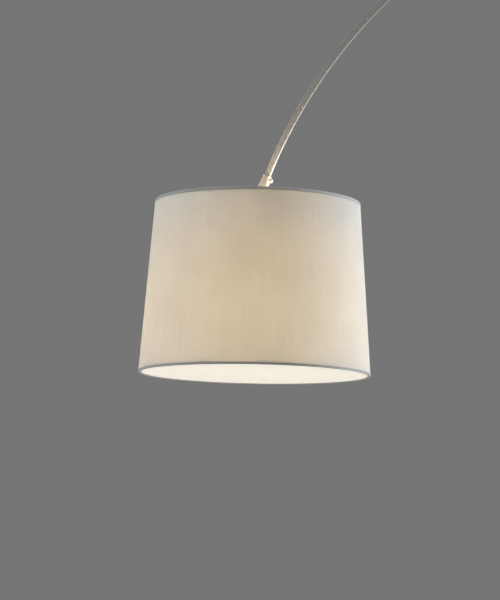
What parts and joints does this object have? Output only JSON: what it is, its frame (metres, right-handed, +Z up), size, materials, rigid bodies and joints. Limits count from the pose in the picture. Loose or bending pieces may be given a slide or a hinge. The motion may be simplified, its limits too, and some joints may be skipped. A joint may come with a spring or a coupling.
{
  "type": "arc floor lamp",
  "caption": "Arc floor lamp: disc base, slim rectangular mast, tapered flat-bar arc that slides in it, and a tilting tapered drum shade with a flush diffuser.",
  "frame": {"origin": "centre of the base's underside, on the floor", "axes": "+Z up; the arc lies in the XZ plane, mast on +X of the origin and shade far out on -X; Y across"},
  "size_m": [2.0579, 0.4508, 2.2602],
  "materials": {
    "felt": "dense needle felt",
    "cast_iron": "rough as cast",
    "satin_nickel": "satin brushed nickel plate",
    "zinc_steel": "bright zinc plate",
    "brass": "plain brass",
    "black_rubber": "matt moulded rubber",
    "black_plastic": "moulded, fine grain",
    "white_plastic": "moulded, satin",
    "clear_lead": "soft clear sheath",
    "wire_jacket": "wire insulation",
    "white_enamel": "white powder coat",
    "shade_cloth": "plain woven white cloth bonded to film, lit from inside",
    "shade_tape": "rolled cloth edge",
    "opal_acrylic": "satin opal, lit from behind",
    "porcelain": "glazed",
    "bulb_metal": "rolled screw cap",
    "black_glass": "opaque black glass",
    "frosted_glass": "frosted, lit",
    "clear_glass": "clear",
    "filament": "phosphor-coated filament"
  },
  "bodies": {
    "base": {"base_pad": "felt", "base_weight": "cast_iron", "base_cover": "satin_nickel", "cord_gland": "black_rubber", "cord_clamp": "black_plastic", "clamp_screws": "zinc_steel", "terminal_block": "white_plastic", "terminal_screws": "brass", "mast_socket": "satin_nickel", "socket_screws": "zinc_steel", "socket_grub_screws": "zinc_steel", "mast_tube": "satin_nickel", "mast_liner": "white_plastic", "mast_collar": "satin_nickel", "mast_lead": "clear_lead"},
    "mast_clamp_pad": {"mast_screw_pad": "brass"},
    "mast_clamp_screw": {"mast_screw": "satin_nickel"},
    "arm": {"arm_bar": "satin_nickel", "arm_wires": "wire_jacket", "arm_slider": "white_plastic", "slider_rivet": "zinc_steel", "end_sleeve": "satin_nickel", "tilt_bolt": "zinc_steel", "tilt_washers": "zinc_steel", "tilt_nut": "zinc_steel"},
    "sleeve_clamp_pad": {"sleeve_screw_pad": "brass"},
    "sleeve_clamp_screw": {"sleeve_screw": "satin_nickel"},
    "shade": {"tilt_eye": "satin_nickel", "stem_pipe": "zinc_steel", "stem_nuts": "zinc_steel", "spider_frame": "white_enamel", "bottom_ring": "white_enamel", "shade_fabric": "shade_cloth", "top_trim": "shade_tape", "bottom_trim": "shade_tape", "diffuser": "opal_acrylic", "diffuser_clips": "white_plastic", "holder_cap": "white_plastic", "holder_body": "white_plastic", "holder_insert": "porcelain", "holder_wires": "wire_jacket", "contact_tongue": "brass", "thread_shell": "brass", "bulb_cap": "bulb_metal", "bulb_insulator": "black_glass", "bulb_tip": "bulb_metal", "bulb_glass": "frosted_glass", "bulb_stem": "clear_glass", "bulb_filaments": "filament"}
  },
  "joints": [
    {"name": "arm_height", "type": "slide", "parent": "base", "child": "arm", "axis": [0, 0, 1], "range_m": [-0.08, 0.17], "deforming": ["mast_lead"]},
    {"name": "mast_screw_turn", "type": "hinge", "parent": "mast_clamp_pad", "child": "mast_clamp_screw", "pos_m": [0.125, 0, 1.232], "axis": [1, 0, 0], "range_deg": [0, 1081]},
    {"name": "mast_pad_travel", "type": "slide", "parent": "base", "child": "mast_clamp_pad", "axis": [1, 0, 0], "range_m": [0, 0.0024]},
    {"name": "sleeve_screw_turn", "type": "hinge", "parent": "sleeve_clamp_pad", "child": "sleeve_clamp_screw", "pos_m": [-1.59535, 0, 1.69849], "axis": [0.9252, 0, -0.3795], "range_deg": [0, 541]},
    {"name": "sleeve_pad_travel", "type": "slide", "parent": "arm", "child": "sleeve_clamp_pad", "axis": [0.9252, 0, -0.3795], "range_m": [0, 0.00105]},
    {"name": "shade_tilt", "type": "hinge", "parent": "arm", "child": "shade", "pos_m": [-1.61956, 0, 1.66], "axis": [0, 1, 0], "range_deg": [-35, 35]}
  ],
  "couplings": [
    {"joint": "mast_screw_turn", "follows": "mast_pad_travel", "rad_per_m": 7854},
    {"joint": "sleeve_screw_turn", "follows": "sleeve_pad_travel", "rad_per_m": 8976}
  ]
}
